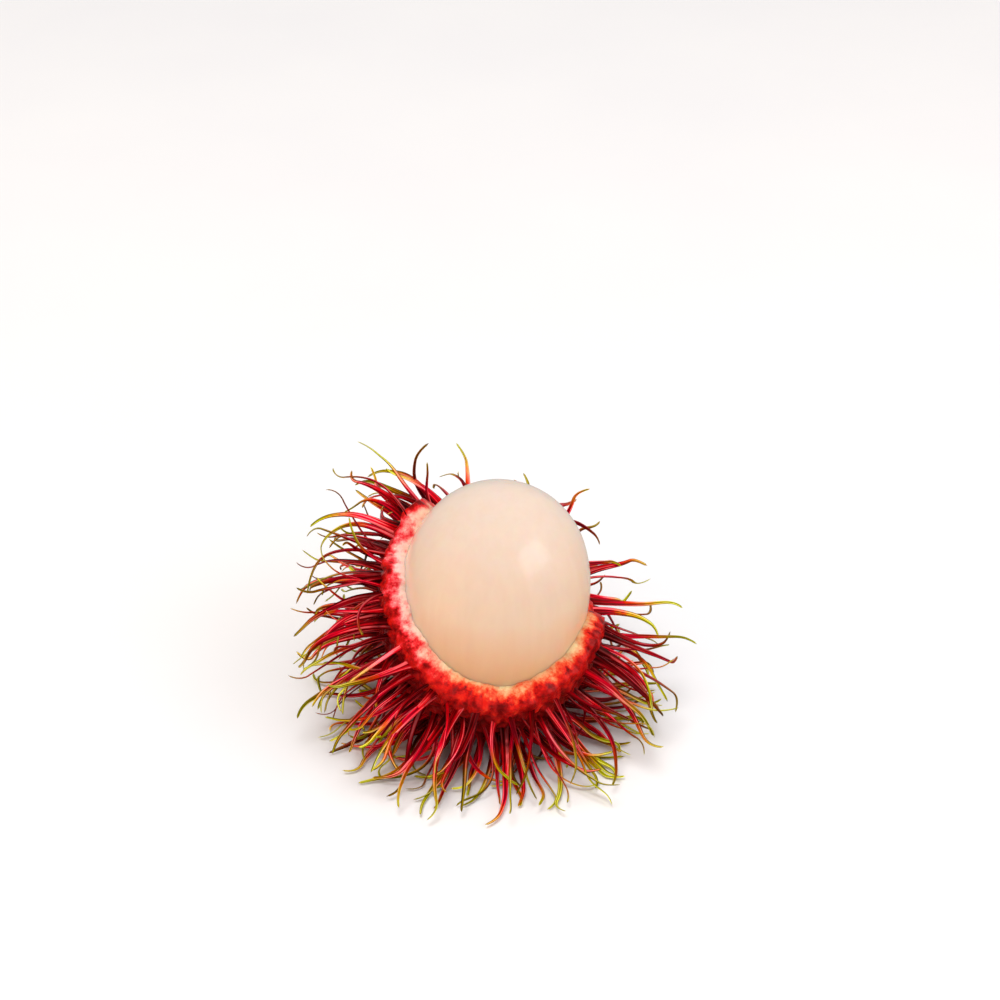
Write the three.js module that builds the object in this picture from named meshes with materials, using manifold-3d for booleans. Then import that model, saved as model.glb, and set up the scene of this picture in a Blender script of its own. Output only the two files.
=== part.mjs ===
// A rambutan with the upper side of its rind torn away, as it is served: the flesh (the aril)
// still sits in the rest of the rind, which carries its soft curved spines all round.
// Millimetres, +Z up. The opening faces -Y and upwards, and +X is to its right.
// The origin is the centre of the small flat spot that the rind rests on.
import * as THREE from "three";
import { mergeVertices } from "three/addons/utils/BufferGeometryUtils.js";
import Module from "manifold-3d";

// ---- Driving dimensions ---------------------------------------------------------------------

const ARIL_WIDTH = 30.4; // the flesh, across
const ARIL_LENGTH = 37.6; // the flesh, along the fruit
const FULLNESS = 2.2; // 2 would be an ellipsoid, and more is fuller between waist and ends
const SEAT_GAP = 0.3; // between the flesh and the rind that holds it
const RIND_THICKNESS = 2.6;
const RIND_BASE = 3; // how much thicker the rind is at its lower end, where the stalk was
const FRUIT_LEAN = 7; // degrees that the long axis leans towards +X
const FLAT_SPOT_SINK = 0.7; // how much of the rind's curve the flat spot takes away

const OPENING_ELEVATION = 54; // degrees above the horizon that the opening faces
const OPENING_AZIMUTH = 11; // degrees from -Y towards +X that the opening faces

// The torn edge, as [angle round the opening, angle from the bottom of the cup] in degrees.
// The first angle runs anticlockwise from the right, as one looks into the opening.
const TORN_EDGE = [
  [0, 65], [30, 66], [60, 72], [95, 77], [108, 82], [127, 103], [148, 98], [172, 104],
  [215, 102], [250, 96], [265, 94], [300, 98], [328, 98], [338, 90], [351, 70],
];
// Smaller waves along that edge: [waves round the opening, phase, degrees up and down].
const TEAR_WAVES = [[9, 1, 0.6], [17, 2.5, 0.4]];
const LIP_SLANT = 3.5; // degrees that the skin's edge lies below the top of the lip
// The lip between skin and seat: [share of the slant it lies below the top, share of the
// thickness it stands out from the seat].
const LIP_PROFILE = [[0.35, 0.7], [0, 0.3]];
const SEAT_EDGE = 0.4; // share of the slant that the seat's own edge lies below the top

const LATTICE_SPINES = 425; // spines that the whole, unpeeled fruit would carry
const LATTICE_JITTER = 0.25; // how far each strays from its place, as a share of the spacing
const SPINE_LENGTH = [14, 20]; // shortest and longest
const SPINE_ROOT_RADIUS = [0.7, 0.95];
const SPINE_TIP_RADIUS = 0.22;
const SPINE_TAPER = 1.3; // 1 would be a straight taper, and more keeps the spine wide for longer
const SPINE_FOOT = 0.5; // how much wider the foot is on each side
const SPINE_FOOT_LENGTH = 0.07; // share of the length in which the foot dies away
const SPINE_FLATNESS = 0.65; // a spine's thickness over its width
const SPINE_ROOT_DEPTH = 1.6; // how deep a root is sunk in the rind
const SPINE_LEAN = 0.35; // how far a spine can lean where it leaves the skin, as a slope
const SPINE_TWIST = 0.9; // how far its wide side can be turned from level, in radians
const SPINE_DROOP = 1.1; // how far its own weight turns a spine down, as a share of its length
const SPINE_SWEEP = 0.1; // how far they are all swept towards -X
const SPINE_CURL = 0.8; // how far a spine's own curl can turn it aside
const MOUND_HEIGHT = 0.6; // each spine stands on a low mound of skin
const MOUND_RADIUS = 1.5;
const EDGE_MARGIN = [5.5, 8]; // degrees below the torn edge with no spines: left, elsewhere
const FOOT_MARGIN = 0.6; // no spine grows lower than this above the surface the fruit lies on
const LANDING_HEIGHT = 4; // a falling spine starts to flatten out this high above the surface
const FLOOR_GAP = 0.12; // a falling spine's centreline stays its own radius and this far up
const LYING_HEIGHT = 0.8; // where a spine's underside is lower than this, it lies on the surface
const LYING_GAP = [0.01, 0.05]; // and each keeps its own small distance from it, within these
const SEED = 20260;

// ---- How finely the solids are cut into facets ----------------------------------------------

const CUP_SECTORS = 48; // round the opening
const SKIN_RINGS = 15; // from the bottom of the cup to the torn edge, outside
const SEAT_RINGS = 8; // the same, inside
const ARIL_SECTORS = 32;
const ARIL_RINGS = 20;
const SPINE_STEPS = 20; // steps in which a spine's centreline grows
const SPINE_STATIONS = [0, 3, 8, 13, 17, 20]; // the steps at which it has a ring, and its tip
const SPINE_SIDES = 3;

// ---- The egg shapes, and how they stand -----------------------------------------------------

const DEG = Math.PI / 180;
const TURN = 2 * Math.PI;
const GOLDEN_ANGLE = Math.PI * (3 - Math.sqrt(5));

// An egg has a half-width and two half-lengths, up and down its long axis.
const aril = { across: ARIL_WIDTH / 2, above: ARIL_LENGTH / 2, below: ARIL_LENGTH / 2 };
const seat = grown(aril, SEAT_GAP, 0);
const skin = grown(seat, RIND_THICKNESS, RIND_BASE);

function grown(egg, by, furtherBelow) {
  return { across: egg.across + by, above: egg.above + by, below: egg.below + by + furtherBelow };
}

// The long axis leans towards +X, so the lowest point of the skin isn't straight below the
// fruit's centre. The centre is set so that this point comes over the origin.
const longAxis = new THREE.Vector3(Math.sin(FRUIT_LEAN * DEG), 0, Math.cos(FRUIT_LEAN * DEG));
const levelAxis = new THREE.Vector3(longAxis.z, 0, -longAxis.x);
const backAxis = new THREE.Vector3(0, 1, 0);
const dual = FULLNESS / (FULLNESS - 1);
const halfHeight = powerSum(skin.below * longAxis.z, skin.across * longAxis.x, dual);
const lowestAlong = skin.below * ((skin.below * longAxis.z) / halfHeight) ** (dual - 1);
const lowestAcross = skin.across * ((skin.across * longAxis.x) / halfHeight) ** (dual - 1);
const centre = new THREE.Vector3(
  lowestAlong * longAxis.x - lowestAcross * longAxis.z,
  0,
  halfHeight - FLAT_SPOT_SINK,
);

// The opening's own axes: out of it, to its right, and up its far side.
const openingOut = new THREE.Vector3(
  Math.cos(OPENING_ELEVATION * DEG) * Math.sin(OPENING_AZIMUTH * DEG),
  -Math.cos(OPENING_ELEVATION * DEG) * Math.cos(OPENING_AZIMUTH * DEG),
  Math.sin(OPENING_ELEVATION * DEG),
);
const openingRight = new THREE.Vector3(
  Math.cos(OPENING_AZIMUTH * DEG),
  Math.sin(OPENING_AZIMUTH * DEG),
  0,
);
const openingUp = new THREE.Vector3().crossVectors(openingOut, openingRight);

function powerSum(a, b, power) {
  return (Math.abs(a) ** power + Math.abs(b) ** power) ** (1 / power);
}

function halfLength(egg, along) {
  return along < 0 ? egg.below : egg.above;
}

// The distance from the centre to an egg's surface, in a direction.
function eggRadius(egg, direction) {
  const along = direction.dot(longAxis);
  const across = Math.sqrt(Math.max(0, 1 - along * along));
  return 1 / powerSum(along / halfLength(egg, along), across / egg.across, FULLNESS);
}

// The outward normal of an egg's surface, where a direction from the centre meets it.
function eggNormal(egg, direction) {
  const along = direction.dot(longAxis);
  const across = direction.clone().addScaledVector(longAxis, -along);
  const steepness = Math.abs(along) ** (FULLNESS - 1) / halfLength(egg, along) ** FULLNESS;
  const slopeAlong = Math.sign(along) * steepness;
  const slopeAcross = across.length() ** (FULLNESS - 2) / egg.across ** FULLNESS;
  return across.multiplyScalar(slopeAcross).addScaledVector(longAxis, slopeAlong).normalize();
}

// ---- The torn edge --------------------------------------------------------------------------

// The direction at a place on the cup: cupAngle from its bottom, and around the opening.
function cupDirection(cupAngle, around) {
  return openingOut
    .clone()
    .multiplyScalar(-Math.cos(cupAngle))
    .addScaledVector(openingRight, Math.sin(cupAngle) * Math.cos(around))
    .addScaledVector(openingUp, Math.sin(cupAngle) * Math.sin(around));
}

function cupPlace(direction) {
  return {
    cupAngle: Math.acos(THREE.MathUtils.clamp(-direction.dot(openingOut), -1, 1)),
    around: Math.atan2(direction.dot(openingUp), direction.dot(openingRight)),
  };
}

// How far up the cup the rind reaches, in radians, at an angle round the opening.
function tornEdge(around) {
  const degrees = THREE.MathUtils.euclideanModulo(around / DEG, 360);
  const last = TORN_EDGE.length - 1;
  const next = TORN_EDGE.findIndex(([at]) => at > degrees);
  const [fromAt, fromReach] = TORN_EDGE[next === -1 ? last : next - 1];
  const [toAt, toReach] = next === -1 ? [360, TORN_EDGE[0][1]] : TORN_EDGE[next];
  const share = THREE.MathUtils.smoothstep(degrees, fromAt, toAt);
  const wander = TEAR_WAVES.reduce((sum, [n, phase, h]) => sum + h * Math.sin(n * around + phase), 0);
  return (THREE.MathUtils.lerp(fromReach, toReach, share) + wander) * DEG;
}

// ---- Where the spines grow ------------------------------------------------------------------

// A seeded generator, so that every build grows the same fruit.
function seededRandom(seed) {
  let state = seed >>> 0;
  return () => {
    state = (state + 0x6d2b79f5) >>> 0;
    let mixed = Math.imul(state ^ (state >>> 15), state | 1);
    mixed = (mixed + Math.imul(mixed ^ (mixed >>> 7), mixed | 61)) ^ mixed;
    return ((mixed ^ (mixed >>> 14)) >>> 0) / 2 ** 32;
  };
}

// The spines stand in spirals round the long axis, as seeds do in a head. Each gets its own
// small differences, and those that would stand on the torn-away side are left out.
function growSpines() {
  const random = seededRandom(SEED);
  const spines = [];
  for (let i = 0; i < LATTICE_SPINES; i++) {
    const height = 1 - (2 * (i + 0.5 + LATTICE_JITTER * (2 * random() - 1))) / LATTICE_SPINES;
    const spiral = i * GOLDEN_ANGLE + LATTICE_JITTER * (random() - 0.5);
    const own = {
      length: THREE.MathUtils.lerp(...SPINE_LENGTH, random()),
      radius: THREE.MathUtils.lerp(...SPINE_ROOT_RADIUS, random()),
      curl: SPINE_CURL * random(),
      curlSide: TURN * random(),
      twist: SPINE_TWIST * (2 * random() - 1),
      lean: SPINE_LEAN * random(),
      leanSide: TURN * random(),
    };
    const direction = latticeDirection(height, spiral);
    const { cupAngle, around } = cupPlace(direction);
    const place = direction.clone().multiplyScalar(eggRadius(skin, direction)).add(centre);
    const margin = THREE.MathUtils.lerp(...EDGE_MARGIN, 1 - Math.max(0, -Math.cos(around)));
    const onRind = cupAngle < tornEdge(around) - margin * DEG;
    if (onRind && place.z > FOOT_MARGIN) spines.push({ ...own, direction, place });
  }
  return spines;
}

function latticeDirection(height, spiral) {
  const across = Math.sqrt(Math.max(0, 1 - height * height));
  return longAxis
    .clone()
    .multiplyScalar(height)
    .addScaledVector(levelAxis, across * Math.cos(spiral))
    .addScaledVector(backAxis, across * Math.sin(spiral));
}

// A spine's half-width at a share of its length: a flared foot, a long taper and a blunt tip.
function spineRadius(spine, share) {
  const foot = SPINE_FOOT * Math.exp(-share / SPINE_FOOT_LENGTH);
  const taper = 1 - share ** SPINE_TAPER;
  return SPINE_TIP_RADIUS + (spine.radius - SPINE_TIP_RADIUS) * taper + foot;
}

// A sideways direction at a spine's foot, turned by an angle from level.
function sideways(spine, angle) {
  const normal = eggNormal(skin, spine.direction);
  const level = new THREE.Vector3().crossVectors(normal, longAxis).normalize();
  const upright = new THREE.Vector3().crossVectors(level, normal);
  return level.multiplyScalar(Math.cos(angle)).addScaledVector(upright, Math.sin(angle));
}

// The centreline, step by step. It leaves the skin with a slight lean, and is then turned by its
// weight, by the common sweep and by its own curl. It comes down flat on the surface below.
function spineLine(spine) {
  const heading = eggNormal(skin, spine.direction)
    .addScaledVector(sideways(spine, spine.leanSide), spine.lean)
    .normalize();
  const turning = new THREE.Vector3(-SPINE_SWEEP, 0, -SPINE_DROOP).addScaledVector(
    sideways(spine, spine.curlSide),
    2 * spine.curl,
  );
  const step = (spine.length + SPINE_ROOT_DEPTH) / SPINE_STEPS;
  const point = spine.place.clone().addScaledVector(heading, -SPINE_ROOT_DEPTH);
  const line = [];
  for (let k = 0; k <= SPINE_STEPS; k++) {
    const share = k / SPINE_STEPS;
    const floor = spineRadius(spine, share) + FLOOR_GAP;
    point.z = Math.max(point.z, floor);
    line.push(point.clone());
    heading.addScaledVector(turning, (2 * share) / SPINE_STEPS).normalize();
    land(heading, (point.z - floor) / LANDING_HEIGHT);
    point.addScaledVector(heading, step);
  }
  return line;
}

// Turns a heading up until it falls no more steeply than the room below it allows.
function land(heading, room) {
  if (heading.z >= -room) return;
  const level = Math.hypot(heading.x, heading.y);
  const levelShare = Math.sqrt(1 - room * room) / level;
  heading.set(heading.x * levelShare, heading.y * levelShare, -room);
}

// ---- Solids ---------------------------------------------------------------------------------

function solidGeometry(points, triangles) {
  const positions = new Float32Array(points.flatMap((p) => [p.x, p.y, p.z]));
  return new THREE.BufferGeometry()
    .setAttribute("position", new THREE.BufferAttribute(positions, 3))
    .setIndex(triangles);
}

// Joins rings of points into a closed skin. The first and last entries are single points.
function ringsToGeometry(rings) {
  const points = rings.flat();
  const sectors = rings[1].length;
  const start = (ring) => (ring === 0 ? 0 : 1 + (ring - 1) * sectors);
  const last = points.length - 1;
  const triangles = [];
  for (let s = 0; s < sectors; s++) {
    const t = (s + 1) % sectors;
    triangles.push(0, start(1) + t, start(1) + s);
    for (let r = 1; r < rings.length - 2; r++) {
      const [a, b, c, d] = [start(r) + s, start(r) + t, start(r + 1) + s, start(r + 1) + t];
      triangles.push(a, b, c, b, d, c);
    }
    triangles.push(last, start(rings.length - 2) + s, start(rings.length - 2) + t);
  }
  return solidGeometry(points, triangles);
}

function spineGeometry(spine) {
  const line = spineLine(spine);
  const side = sideways(spine, spine.twist);
  const gap = THREE.MathUtils.lerp(...LYING_GAP, spine.curlSide / TURN);
  const rings = SPINE_STATIONS.map((at, index) => {
    if (index === SPINE_STATIONS.length - 1) return laidDown([line[at]], gap);
    const ahead = line[Math.min(at + 1, SPINE_STEPS)].clone();
    const tangent = ahead.sub(line[Math.max(at - 1, 0)]).normalize();
    side.addScaledVector(tangent, -side.dot(tangent)).normalize();
    const thin = new THREE.Vector3().crossVectors(tangent, side);
    const radius = spineRadius(spine, at / SPINE_STEPS);
    const ring = Array.from({ length: SPINE_SIDES }, (_, k) => {
      const angle = (TURN * k) / SPINE_SIDES;
      return line[at]
        .clone()
        .addScaledVector(side, radius * Math.cos(angle))
        .addScaledVector(thin, radius * SPINE_FLATNESS * Math.sin(angle));
    });
    return laidDown(ring, gap);
  });
  return ringsToGeometry([[line[0]], ...rings]);
}

// A ring of a spine that comes close to the surface is lowered to lie on it.
function laidDown(ring, gap) {
  const underside = Math.min(...ring.map((point) => point.z));
  if (underside < LYING_HEIGHT) ring.forEach((point) => (point.z -= underside - gap));
  return ring;
}

// The rind without its spines: the skin outside, a slanted torn lip, and the seat inside.
function cupGeometry(spines) {
  const ring = (reachOf, radiusOf) =>
    Array.from({ length: CUP_SECTORS }, (_, s) => {
      const around = (TURN * s) / CUP_SECTORS;
      const direction = cupDirection(reachOf(around), around);
      return direction.clone().multiplyScalar(radiusOf(direction)).add(centre);
    });
  const skinRadius = (direction) => {
    const plain = eggRadius(skin, direction);
    const mounded = plain + moundHeight(direction, plain, spines);
    return direction.z < 0 ? Math.min(mounded, centre.z / -direction.z) : mounded;
  };
  const between = (share) => (direction) =>
    THREE.MathUtils.lerp(eggRadius(seat, direction), eggRadius(skin, direction), share);
  const below = (share) => (around) => tornEdge(around) - share * LIP_SLANT * DEG;
  const bottom = openingOut.clone().negate();
  const rings = [[bottom.clone().multiplyScalar(skinRadius(bottom)).add(centre)]];
  for (let r = 1; r <= SKIN_RINGS; r++)
    rings.push(ring((around) => (below(1)(around) * r) / SKIN_RINGS, skinRadius));
  for (const [slantShare, thicknessShare] of LIP_PROFILE)
    rings.push(ring(below(slantShare), between(thicknessShare)));
  for (let r = SEAT_RINGS; r >= 1; r--)
    rings.push(ring((around) => (below(SEAT_EDGE)(around) * r) / SEAT_RINGS, between(0)));
  rings.push([bottom.clone().multiplyScalar(eggRadius(seat, bottom)).add(centre)]);
  return ringsToGeometry(rings);
}

// How much the mounds under the spines raise the skin, in a direction from the centre.
function moundHeight(direction, radius, spines) {
  return spines.reduce((most, spine) => {
    const away = radius * direction.angleTo(spine.direction);
    return Math.max(most, MOUND_HEIGHT * Math.exp(-((away / MOUND_RADIUS) ** 2)));
  }, 0);
}

function arilGeometry() {
  const pole = (sign) => [longAxis.clone().multiplyScalar(sign * aril.above).add(centre)];
  const rings = [pole(-1)];
  for (let r = 1; r < ARIL_RINGS; r++)
    rings.push(
      Array.from({ length: ARIL_SECTORS }, (_, s) => {
        const height = -Math.cos((Math.PI * r) / ARIL_RINGS);
        const direction = latticeDirection(height, (TURN * s) / ARIL_SECTORS);
        return direction.multiplyScalar(eggRadius(aril, direction)).add(centre);
      }),
    );
  rings.push(pole(1));
  return ringsToGeometry(rings);
}

// ---- Fusing the spines into the rind --------------------------------------------------------

const wasm = await Module();
wasm.setup();

function toManifold(geometry) {
  const merged = mergeVertices(geometry, 1e-4);
  return new wasm.Manifold(
    new wasm.Mesh({
      numProp: 3,
      vertProperties: merged.attributes.position.array,
      triVerts: new Uint32Array(merged.index.array),
    }),
  );
}

function fromManifold(solid) {
  const { vertProperties, triVerts, numProp } = solid.getMesh();
  const geometry = new THREE.BufferGeometry();
  const positions = new THREE.InterleavedBuffer(vertProperties, numProp);
  geometry.setAttribute("position", new THREE.InterleavedBufferAttribute(positions, 3, 0));
  return geometry.setIndex(new THREE.BufferAttribute(triVerts, 1));
}

function rindGeometry() {
  const spines = growSpines();
  let rind = toManifold(cupGeometry(spines));
  for (const spine of spines) rind = rind.add(toManifold(spineGeometry(spine)));
  return fromManifold(rind);
}

// ---- The two pieces -------------------------------------------------------------------------

const rindSkin = new THREE.MeshStandardMaterial({ color: 0xc4162a, roughness: 0.45, metalness: 0 });
const arilFlesh = new THREE.MeshStandardMaterial({ color: 0xf0cdb0, roughness: 0.3, metalness: 0 });

const rind = new THREE.Mesh(rindGeometry(), rindSkin);
rind.name = "rind";

const flesh = new THREE.Mesh(arilGeometry(), arilFlesh);
flesh.name = "aril";

const rambutan = new THREE.Group();
rambutan.add(rind, flesh);

export default rambutan;
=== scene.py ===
"""A rambutan with the upper side of its rind torn away. The white flesh still sits in the rest of
the rind, which bristles with soft curved spines. Lengths are millimetres until a mesh is made."""

import math

import bpy
import numpy as np
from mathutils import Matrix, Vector, noise


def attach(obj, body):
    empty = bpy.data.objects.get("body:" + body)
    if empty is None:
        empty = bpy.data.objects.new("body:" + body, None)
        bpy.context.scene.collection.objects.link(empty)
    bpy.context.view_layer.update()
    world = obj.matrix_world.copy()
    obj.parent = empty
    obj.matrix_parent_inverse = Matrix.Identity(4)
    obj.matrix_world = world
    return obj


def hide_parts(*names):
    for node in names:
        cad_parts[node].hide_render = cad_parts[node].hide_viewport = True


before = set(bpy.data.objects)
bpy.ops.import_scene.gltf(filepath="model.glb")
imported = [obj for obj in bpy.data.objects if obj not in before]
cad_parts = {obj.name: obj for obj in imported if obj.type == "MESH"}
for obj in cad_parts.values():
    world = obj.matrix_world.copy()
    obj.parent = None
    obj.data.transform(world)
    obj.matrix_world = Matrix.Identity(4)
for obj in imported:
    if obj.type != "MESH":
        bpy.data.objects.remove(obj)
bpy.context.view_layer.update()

# ---- The flesh ------------------------------------------------------------------------------
# The aril: a firm egg of white flesh that grew round the stone. It is moist and translucent, with
# a smooth skin of its own, and lies loose in what is left of the rind, leaning with it.

ARIL_WIDTH = 30.4
ARIL_LENGTH = 37.6
FULLNESS = 2.2  # 2 would be an ellipsoid, and more is fuller between waist and ends
SEAT_GAP = 0.3  # between the flesh and the rind that holds it
RIND_THICKNESS = 2.6
RIND_BASE = 3  # how much thicker the rind is at its lower end, where the stalk was
FRUIT_LEAN = math.radians(7)
FLAT_SPOT_SINK = 0.7  # how much of the rind's curve the flat spot takes away
ARIL_SECTORS = 144
ARIL_RINGS = 110
ARIL_SWELL = 0.07  # the flesh is nowhere quite even
ARIL_SWELL_LENGTH = 9
BOUNCE_TINT_HEIGHTS = (9, 40)  # above the table: painted bounce light from the rind makes it warm up to the first, pale from the second
BOUNCE_TINT_SHARE = 0.8  # how far the tint goes with height
CLOUD_SHARE = 0.24  # and how far with the clouds in it
FLESH_CLOUDS = 9  # how big they are
FLESH_STRANDS = 1.5  # apart, across the fruit
FLESH_STRAND_SHORTENING = 0.09  # makes them long
FLESH_STRAND_SHARE = 0.3  # how much of them is seen
FLESH_PORES = 0.7  # apart
FLESH_PORE_SHARE = 0.4  # how much of them is in the grain, beside the strands
FLESH_GRAIN_DEPTH = 0.02
MM = 0.001  # in metres

# An egg has a half-width and two half-lengths, up and down its long axis.
aril = np.array([ARIL_WIDTH, ARIL_LENGTH, ARIL_LENGTH]) / 2
seat = aril + SEAT_GAP
skin = seat + RIND_THICKNESS + np.array([0, 0, RIND_BASE])

long_axis = np.array([math.sin(FRUIT_LEAN), 0, math.cos(FRUIT_LEAN)])
level_axis = np.array([long_axis[2], 0, -long_axis[0]])
back_axis = np.array([0, 1, 0])


def power_sum(a, b, power):
    """Two lengths joined as the sides of a right angle are, but by another power than 2."""
    return (abs(a) ** power + abs(b) ** power) ** (1 / power)


# The fruit's centre: straight above the origin comes the lowest point of the leaning skin.
dual = FULLNESS / (FULLNESS - 1)
half_height = power_sum(skin[2] * long_axis[2], skin[0] * long_axis[0], dual)
lowest_along = skin[2] * (skin[2] * long_axis[2] / half_height) ** (dual - 1)
lowest_across = skin[0] * (skin[0] * long_axis[0] / half_height) ** (dual - 1)
centre = np.array(
    [
        lowest_along * long_axis[0] - lowest_across * long_axis[2],
        0,
        half_height - FLAT_SPOT_SINK,
    ]
)


def egg_radius(egg, directions):
    """The distances from the centre to an egg's surface, in unit directions."""
    cosine = directions @ long_axis
    sine = np.sqrt(np.maximum(0, 1 - cosine**2))
    return 1 / power_sum(cosine / np.where(cosine < 0, egg[2], egg[1]), sine / egg[0], FULLNESS)


def lattice_direction(height, spiral):
    """Unit directions, by height along the long axis and angle round it."""
    across = np.sqrt(np.maximum(0, 1 - height**2))
    return (
        np.multiply.outer(height, long_axis)
        + np.multiply.outer(across * np.cos(spiral), level_axis)
        + np.multiply.outer(across * np.sin(spiral), back_axis)
    )


def ripples(points, length, seed, octaves=2):
    """Smooth seeded noise at points, about -1 to 1, whose waves have a length."""
    shift = Vector((7.3, 3.1, 5.7)) * seed  # each seed has its own part of the noise
    flat = points.reshape(-1, 3) / length
    values = [noise.fractal(Vector(p) + shift, 1, 2, octaves) for p in flat]
    return np.array(values).reshape(points.shape[:-1])


def flesh_radius(directions):
    """How far the flesh reaches from its centre, in unit directions."""
    return egg_radius(aril, directions) + ARIL_SWELL * ripples(
        directions * aril[1], ARIL_SWELL_LENGTH, 1
    )


def closed_rings(first, rings, last):
    """The points and faces of a closed skin, from a point over rings of points to a point."""
    count, sectors = rings.shape[:2]
    points = np.concatenate([[first], rings.reshape(-1, 3), [last]])
    ring = 1 + np.arange(count)[:, None] * sectors + np.arange(sectors)
    after = np.roll(ring, -1, axis=1)
    quads = np.stack([ring[:-1], after[:-1], after[1:], ring[1:]], axis=-1).reshape(-1, 4)
    bottom = [(0, int(b), int(a)) for a, b in zip(ring[0], after[0])]
    top = [(len(points) - 1, int(a), int(b)) for a, b in zip(ring[-1], after[-1])]
    return points, quads.tolist() + bottom + top


def add_piece(name, points, faces, material, values):
    """A smooth mesh object in metres, with named values at its points."""
    mesh = bpy.data.meshes.new(name)
    mesh.from_pydata((np.asarray(points) * MM).tolist(), [], faces)
    mesh.polygons.foreach_set("use_smooth", [True] * len(mesh.polygons))
    mesh.materials.append(material)
    for value_name, numbers in values.items():
        numbers = np.asarray(numbers, dtype=np.float32)
        kind, key = ("FLOAT", "value") if numbers.ndim == 1 else ("FLOAT_VECTOR", "vector")
        mesh.attributes.new(value_name, kind, "POINT").data.foreach_set(key, numbers.ravel())
    mesh.update()
    piece = bpy.data.objects.new(name, mesh)
    bpy.context.collection.objects.link(piece)
    return piece


def colour(hex_code):
    """An sRGB hex colour as Blender's linear RGBA."""
    parts = [int(hex_code[i : i + 2], 16) / 255 for i in (1, 3, 5)]
    return [p / 12.92 if p <= 0.04045 else ((p + 0.055) / 1.055) ** 2.4 for p in parts] + [1]


def add_node(tree, kind, inputs, stops=(), **settings):
    """Adds a node with its settings, and fills its inputs with values or other nodes' outputs.
    A colour ramp also has stops: places and their colours."""
    node = tree.nodes.new(kind)
    for name, value in settings.items():
        setattr(node, name, value)
    for key, value in inputs.items():
        if isinstance(value, bpy.types.NodeSocket):
            tree.links.new(value, node.inputs[key])
        else:
            node.inputs[key].default_value = value
    if stops:
        elements = node.color_ramp.elements
        elements.remove(elements[-1])
        elements[0].position, elements[0].color = stops[0][0], colour(stops[0][1])
        for place, hex_code in stops[1:]:
            elements.new(place).color = colour(hex_code)
    return node


# Flesh of the fruit, wet and whole: light goes some millimetres deep, and further in red than in
# blue, so its shaded side glows warm. Its surface is smooth, with a soft shine from the juice.
flesh_material = bpy.data.materials.new("wet_fruit_flesh")
flesh_material.use_nodes = True
tree = flesh_material.node_tree
tree.nodes.clear()
place = add_node(tree, "ShaderNodeTexCoord", {}).outputs["Object"]
height = add_node(tree, "ShaderNodeSeparateXYZ", {0: place}).outputs["Z"]
clouds = add_node(
    tree,
    "ShaderNodeTexNoise",
    {"Vector": place, "Scale": 1 / (FLESH_CLOUDS * MM), "Detail": 2, "Roughness": 0.5},
).outputs[0]
# The tint is warm low down and pale higher up. The warmth is painted bounce light from the red rind
# around the flesh's lower part, mixed with the flesh's own clouds.
paleness = add_node(
    tree,
    "ShaderNodeMapRange",
    {
        "Value": height,
        "From Min": BOUNCE_TINT_HEIGHTS[0] * MM,
        "From Max": BOUNCE_TINT_HEIGHTS[1] * MM,
        "To Min": 0,
        "To Max": BOUNCE_TINT_SHARE,
    },
).outputs[0]
clouds_and_bounce_tint = add_node(
    tree, "ShaderNodeMath", {0: clouds, 1: CLOUD_SHARE, 2: paleness}, operation="MULTIPLY_ADD"
).outputs[0]
flesh_tint = add_node(
    tree,
    "ShaderNodeValToRGB",
    {"Fac": clouds_and_bounce_tint},
    stops=[(0.0, "#EE8A4A"), (0.3, "#F0BA88"), (0.6, "#E7CDB3"), (1.0, "#D3C5B9")],
).outputs[0]
# Faint strands run from end to end under the surface.
strand_place = add_node(
    tree,
    "ShaderNodeMapping",
    {
        "Vector": place,
        "Rotation": (0, FRUIT_LEAN, 0),
        "Scale": (1, 1, FLESH_STRAND_SHORTENING),
    },
).outputs[0]
strands = add_node(
    tree,
    "ShaderNodeTexNoise",
    {"Vector": strand_place, "Scale": 1 / (FLESH_STRANDS * MM), "Detail": 3, "Roughness": 0.55},
).outputs[0]
strand_tint = add_node(
    tree,
    "ShaderNodeValToRGB",
    {"Fac": strands},
    stops=[(0.3, "#F8F2EC"), (0.62, "#FFFFFF")],
).outputs[0]
flesh_colour = add_node(
    tree,
    "ShaderNodeMix",
    {0: FLESH_STRAND_SHARE, 6: flesh_tint, 7: strand_tint},
    data_type="RGBA",
    blend_type="MULTIPLY",
).outputs[2]
pores = add_node(
    tree,
    "ShaderNodeTexNoise",
    {"Vector": place, "Scale": 1 / (FLESH_PORES * MM), "Detail": 2, "Roughness": 0.6},
).outputs[0]
flesh_grain = add_node(
    tree, "ShaderNodeMath", {0: pores, 1: FLESH_PORE_SHARE, 2: strands}, operation="MULTIPLY_ADD"
).outputs[0]
flesh_bump = add_node(
    tree,
    "ShaderNodeBump",
    {"Height": flesh_grain, "Distance": FLESH_GRAIN_DEPTH * MM, "Strength": 0.4},
).outputs[0]
flesh_shader = add_node(
    tree,
    "ShaderNodeBsdfPrincipled",
    {
        "Base Color": flesh_colour,
        "Roughness": 0.42,
        "IOR": 1.34,
        "Subsurface Weight": 0.9,
        "Subsurface Radius": (1.0, 0.45, 0.22),
        "Subsurface Scale": 7 * MM,
        "Coat Weight": 0.85,
        "Coat Roughness": 0.1,
        "Coat IOR": 1.45,
        "Normal": flesh_bump,
    },
)
add_node(tree, "ShaderNodeOutputMaterial", {"Surface": flesh_shader.outputs[0]})

ring_heights = -np.cos(np.pi * np.arange(1, ARIL_RINGS) / ARIL_RINGS)
ring_turns = 2 * np.pi * np.arange(ARIL_SECTORS) / ARIL_SECTORS
directions = lattice_direction(*np.meshgrid(ring_heights, ring_turns, indexing="ij"))
rings = directions * flesh_radius(directions)[..., None] + centre
points, faces = closed_rings(centre - long_axis * aril[1], rings, centre + long_axis * aril[1])
flesh = add_piece("flesh", points, faces, flesh_material, {})
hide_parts("aril")
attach(flesh, "root")

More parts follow.
